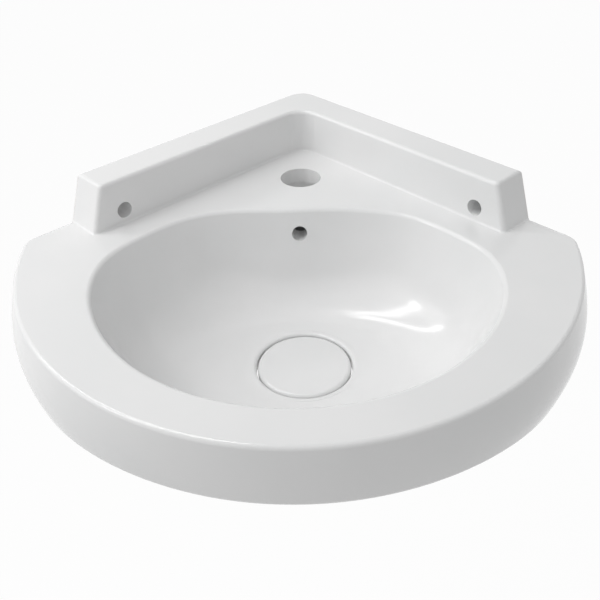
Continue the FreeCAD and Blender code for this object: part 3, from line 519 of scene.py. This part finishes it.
def thread_ridge(group, start):
    """Helical ridge of triangular section that runs out at both ends."""
    rise = calculate(group, "SUBTRACT", start["Length"], 2 * THREAD_LEAD)
    turns = calculate(group, "DIVIDE", rise, start["Pitch"])
    path = add_node(group, "GeometryNodeCurveSpiral", Resolution=start["Steps"], Rotations=turns,
                    Start_Radius=start["Root Radius"], End_Radius=start["Root Radius"], Height=rise)
    along = group.nodes.new("GeometryNodeSplineParameter").outputs["Factor"]
    near_end = calculate(group, "MINIMUM", along, calculate(group, "SUBTRACT", 1.0, along))
    runout = remap(group, near_end, 0.0, THREAD_RUNOUT, RUNOUT_START, 1.0)
    tapered = add_node(group, "GeometryNodeSetCurveRadius", Curve=levelled(group, path.outputs[0]),
                       Radius=runout)
    height = calculate(group, "SUBTRACT", start["Crest Radius"], start["Root Radius"])
    section = add_node(group, "GeometryNodeCurvePrimitiveCircle", Resolution=3, Radius=1.0)
    flank = add_node(group, "ShaderNodeCombineXYZ", X=height,
                     Y=calculate(group, "MULTIPLY", start["Pitch"], RIDGE_WIDTH), Z=1.0)
    sized = add_node(group, "GeometryNodeTransform", Geometry=section.outputs[0], Scale=flank.outputs[0])
    ridge = add_node(group, "GeometryNodeCurveToMesh", Curve=tapered.outputs[0],
                     Profile_Curve=sized.outputs[0], Fill_Caps=True)
    return raised(group, ridge.outputs[0], calculate(group, "SUBTRACT", THREAD_LEAD, start["Length"]))


def upper_waste(cut_height):
    """The waste above its groove: flange, slots and hub, closed where it is cut."""
    body = bmesh.new()
    body.from_mesh(NODES["waste_body"].data)
    bmesh.ops.remove_doubles(body, verts=body.verts, dist=WELD_DISTANCE)
    everything = list(body.verts) + list(body.edges) + list(body.faces)
    bmesh.ops.bisect_plane(body, geom=everything, plane_co=Vector((0, 0, cut_height)),
                           plane_no=Vector((0, 0, 1)), clear_inner=True)
    open_edges = [edge for edge in body.edges if edge.is_boundary]
    bmesh.ops.bridge_loops(body, edges=open_edges)
    bmesh.ops.recalc_face_normals(body, faces=body.faces)
    mesh = bpy.data.meshes.new("upper_waste")
    body.to_mesh(mesh)
    body.free()
    return mesh


def lower_waste(settings, material, top):
    """The waste below its groove, with the trap's thread."""
    carrier = bpy.data.objects.new("thread_carrier", bpy.data.meshes.new("thread_carrier"))
    bpy.context.scene.collection.objects.link(carrier)
    modifier = carrier.modifiers.new("thread", "NODES")
    modifier.node_group = thread_tree()
    values = {"Length": top - WASTE_LOW[2], "Pitch": settings.pitch,
              "Crest Radius": settings.crest_radius, "Root Radius": settings.root_radius,
              "Bore Radius": settings.bore_radius, "Steps": settings.steps, "Material": material}
    for socket in modifier.node_group.interface.items_tree:
        if socket.in_out == "INPUT" and socket.name in values:
            modifier[socket.identifier] = values[socket.name]
    carrier.update_tag()
    evaluated = carrier.evaluated_get(bpy.context.evaluated_depsgraph_get())
    mesh = bpy.data.meshes.new_from_object(evaluated)
    bpy.data.objects.remove(carrier)
    mesh.transform(Matrix.Translation((WASTE_X, WASTE_Y, top)))
    return mesh


def join_meshes(name, meshes, material):
    """One object from several meshes, its faces pointing outwards and sharp edges kept."""
    body = bmesh.new()
    for mesh in meshes:
        body.from_mesh(mesh)
    bmesh.ops.recalc_face_normals(body, faces=body.faces)
    whole = bpy.data.meshes.new(name)
    body.to_mesh(whole)
    body.free()
    for mesh in meshes:
        bpy.data.meshes.remove(mesh)
    whole.materials.clear()
    whole.materials.append(material)
    for face in whole.polygons:
        face.material_index = 0
        face.use_smooth = True
    whole.set_sharp_from_angle(angle=SHARP_ANGLE)
    item = bpy.data.objects.new(name, whole)
    bpy.context.scene.collection.objects.link(item)
    return item


# ---------------------------------------------------------------- operators

class BASIN_OT_ceramic(Operator):
    """Glaze on the basin and on the plug's cap"""
    bl_idname = "basin.ceramic"
    bl_label = "Ceramic"

    def execute(self, context):
        dress(["basin", "plug_cap"], glaze_material(context.scene.basin_ceramic))
        return {"FINISHED"}


class BASIN_OT_waste(Operator):
    """Chromed waste with the trap's thread, and its back nut"""
    bl_idname = "basin.waste"
    bl_label = "Waste and back nut"

    def execute(self, context):
        chrome = chrome_material(context.scene.basin_metal)
        dress(["back_nut"], chrome)
        thread_top = WASTE_LOW[2] + THREAD_LENGTH
        groove_middle = (thread_top + NUT_BOTTOM) / 2
        lower = lower_waste(context.scene.basin_thread, chrome, groove_middle)
        waste = join_meshes("threaded_waste", [upper_waste(groove_middle), lower], chrome)
        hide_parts("waste_body")
        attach(waste, "basin")
        return {"FINISHED"}


class BASIN_OT_steel(Operator):
    """Steel finish on the plug's rod, its nut and the return spring"""
    bl_idname = "basin.steel"
    bl_label = "Steel parts"

    def execute(self, context):
        dress(["plug_rod", "lock_nut", "return_spring"], steel_material(context.scene.basin_metal))
        return {"FINISHED"}


class BASIN_OT_seals(Operator):
    """Rubber and silicone seals"""
    bl_idname = "basin.seals"
    bl_label = "Seals"

    def execute(self, context):
        settings = context.scene.basin_soft
        dress(["lower_seal", "plug_seal", "stem_ring"],
              soft_material("black_rubber", settings.rubber, roughness=(0.55, 0.8), grain_height=0.00001))
        dress(["flange_seal", "cap_ring"],
              soft_material("clear_silicone", settings.silicone, roughness=(0.3, 0.5),
                            grain_height=0.000004))
        return {"FINISHED"}


class BASIN_OT_plastics(Operator):
    """White and grey mouldings of the plug and its cartridge"""
    bl_idname = "basin.plastics"
    bl_label = "Plastic mouldings"

    def execute(self, context):
        settings = context.scene.basin_plastic
        dress(["slip_washer", "plug_carrier", "guide_bush"],
              plastic_material("white_plastic", settings.white))
        dress(["index_rotor", "cartridge_sleeve", "cartridge_end_cap"],
              plastic_material("grey_plastic", settings.grey))
        return {"FINISHED"}


class BASIN_OT_studio(Operator):
    """Pale floor, soft light and the camera"""
    bl_idname = "basin.studio"
    bl_label = "Studio"

    def execute(self, context):
        settings = context.scene.basin_studio
        make_floor(settings)
        make_world(settings)
        strip = (settings.strip_width, settings.strip_length)
        square = (settings.key_size, settings.key_size)
        make_softbox("front_strip", settings.strip_power, strip, FRONT_STRIP_WAY)
        make_softbox("back_strip", settings.strip_power, strip, BACK_STRIP_WAY)
        make_softbox("key_softbox", settings.key_power, square, KEY_WAY)
        make_camera()
        context.scene.view_settings.view_transform = "Standard"
        return {"FINISHED"}


# ---------------------------------------------------------------- studio

def seen_directly(tree):
    """1 for what the camera sees itself, in a reflection or through glass."""
    path = tree.nodes.new("ShaderNodeLightPath").outputs
    return calculate(tree, "MAXIMUM", path["Is Camera Ray"],
                     calculate(tree, "MAXIMUM", path["Is Glossy Ray"], path["Is Transmission Ray"]))


def make_floor(settings):
    """Pale floor far below the basin, which hangs on its walls."""
    corners = [(-FLOOR_HALF, -FLOOR_HALF), (FLOOR_HALF, -FLOOR_HALF), (FLOOR_HALF, FLOOR_HALF),
               (-FLOOR_HALF, FLOOR_HALF)]
    mesh = bpy.data.meshes.new("studio_floor")
    mesh.from_pydata([(x, y, settings.floor_height) for x, y in corners], [], [(0, 1, 2, 3)])
    floor = bpy.data.objects.new("studio_floor", mesh)
    bpy.context.scene.collection.objects.link(floor)
    material, tree, shader = new_material("pale_floor")
    coat(tree, shader, tones=(settings.floor, darker(settings.floor, 0.985)), tone_scale=2.0,
         roughness=(0.8, 0.95), roughness_scale=5.0)
    glow = add_node(tree, "ShaderNodeEmission", Color=(1.0, 1.0, 1.0), Strength=1.0)
    blend = tree.nodes.new("ShaderNodeMixShader")
    out = next(item for item in tree.nodes if item.type == "OUTPUT_MATERIAL")
    body = next(item for item in tree.nodes if item.type == "BSDF_PRINCIPLED")
    tree.links.new(calculate(tree, "MULTIPLY", seen_directly(tree), FLOOR_GLOW), blend.inputs[0])
    tree.links.new(body.outputs[0], blend.inputs[1])
    tree.links.new(glow.outputs[0], blend.inputs[2])
    tree.links.new(blend.outputs[0], out.inputs["Surface"])
    mesh.materials.append(material)


def make_world(settings):
    """Soft room light, a little stronger from the left and the front; white where it is seen."""
    world = bpy.data.worlds.new("studio_room")
    world.use_nodes = True
    tree = world.node_tree
    tree.nodes.clear()
    way = axes(tree, tree.nodes.new("ShaderNodeTexCoord").outputs["Generated"])
    uneven = calculate(tree, "ADD", calculate(tree, "MULTIPLY", way["X"], settings.right_fall),
                       calculate(tree, "MULTIPLY", way["Y"], settings.front_rise))
    strength = calculate(tree, "MULTIPLY", calculate(tree, "SUBTRACT", 1.0, uneven), settings.room_light)
    room = add_node(tree, "ShaderNodeBackground", Color=(1.0, 1.0, 1.0), Strength=strength)
    white = add_node(tree, "ShaderNodeBackground", Color=(1.0, 1.0, 1.0), Strength=1.0)
    blend = tree.nodes.new("ShaderNodeMixShader")
    out = tree.nodes.new("ShaderNodeOutputWorld")
    tree.links.new(seen_directly(tree), blend.inputs[0])
    tree.links.new(room.outputs[0], blend.inputs[1])
    tree.links.new(white.outputs[0], blend.inputs[2])
    tree.links.new(blend.outputs[0], out.inputs["Surface"])
    bpy.context.scene.world = world


def make_softbox(name, watts, size, direction):
    """Lamp, level across its width, that looks at the basin's middle from a direction."""
    data = bpy.data.lights.new(name, "AREA")
    data.shape = "RECTANGLE"
    data.size, data.size_y = size
    data.energy = watts
    lamp = bpy.data.objects.new(name, data)
    bpy.context.scene.collection.objects.link(lamp)
    direction = direction.normalized()
    lamp.location = LAMP_AIM + direction * LAMP_DISTANCE
    lamp.rotation_euler = direction.to_track_quat("Z", "Y").to_euler()


def make_camera():
    """The photograph's view, above and in front of the bowl."""
    data = bpy.data.cameras.new("photo_camera")
    data.sensor_width = CAMERA_SENSOR
    data.lens = CAMERA_LENS
    data.clip_end = CAMERA_FAR
    camera = bpy.data.objects.new("photo_camera", data)
    bpy.context.scene.collection.objects.link(camera)
    turn = Matrix((CAMERA_RIGHT, CAMERA_UP, CAMERA_RIGHT.cross(CAMERA_UP))).transposed().to_4x4()
    camera.matrix_world = Matrix.Translation(CAMERA_PLACE) @ turn
    bpy.context.scene.camera = camera


# ---------------------------------------------------------------- panel

class BASIN_PT_panel(Panel):
    """Lists what makes up the basin's look"""
    bl_idname = "BASIN_PT_panel"
    bl_label = "Corner basin"
    bl_space_type = "VIEW_3D"
    bl_region_type = "UI"
    bl_category = "Basin"

    def draw(self, context):
        layout = self.layout
        for operator in OPERATORS:
            layout.operator(operator.bl_idname)
        for name, group in SETTINGS.items():
            box = layout.box()
            for entry in group.__annotations__:
                box.prop(getattr(context.scene, name), entry)


SETTINGS = {
    "basin_ceramic": CeramicSettings,
    "basin_metal": MetalSettings,
    "basin_thread": ThreadSettings,
    "basin_soft": SoftSettings,
    "basin_plastic": PlasticSettings,
    "basin_studio": StudioSettings,
}
OPERATORS = (BASIN_OT_ceramic, BASIN_OT_waste, BASIN_OT_steel, BASIN_OT_seals, BASIN_OT_plastics,
             BASIN_OT_studio)


def register():
    for name, group in SETTINGS.items():
        bpy.utils.register_class(group)
        setattr(bpy.types.Scene, name, PointerProperty(type=group))
    for item in OPERATORS:
        bpy.utils.register_class(item)
    bpy.utils.register_class(BASIN_PT_panel)


def unregister():
    bpy.utils.unregister_class(BASIN_PT_panel)
    for item in reversed(OPERATORS):
        bpy.utils.unregister_class(item)
    for name, group in reversed(SETTINGS.items()):
        delattr(bpy.types.Scene, name)
        bpy.utils.unregister_class(group)


def main():
    register()
    bpy.ops.basin.ceramic()
    bpy.ops.basin.waste()
    bpy.ops.basin.steel()
    bpy.ops.basin.seals()
    bpy.ops.basin.plastics()
    bpy.ops.basin.studio()


if __name__ == "__main__":
    main()
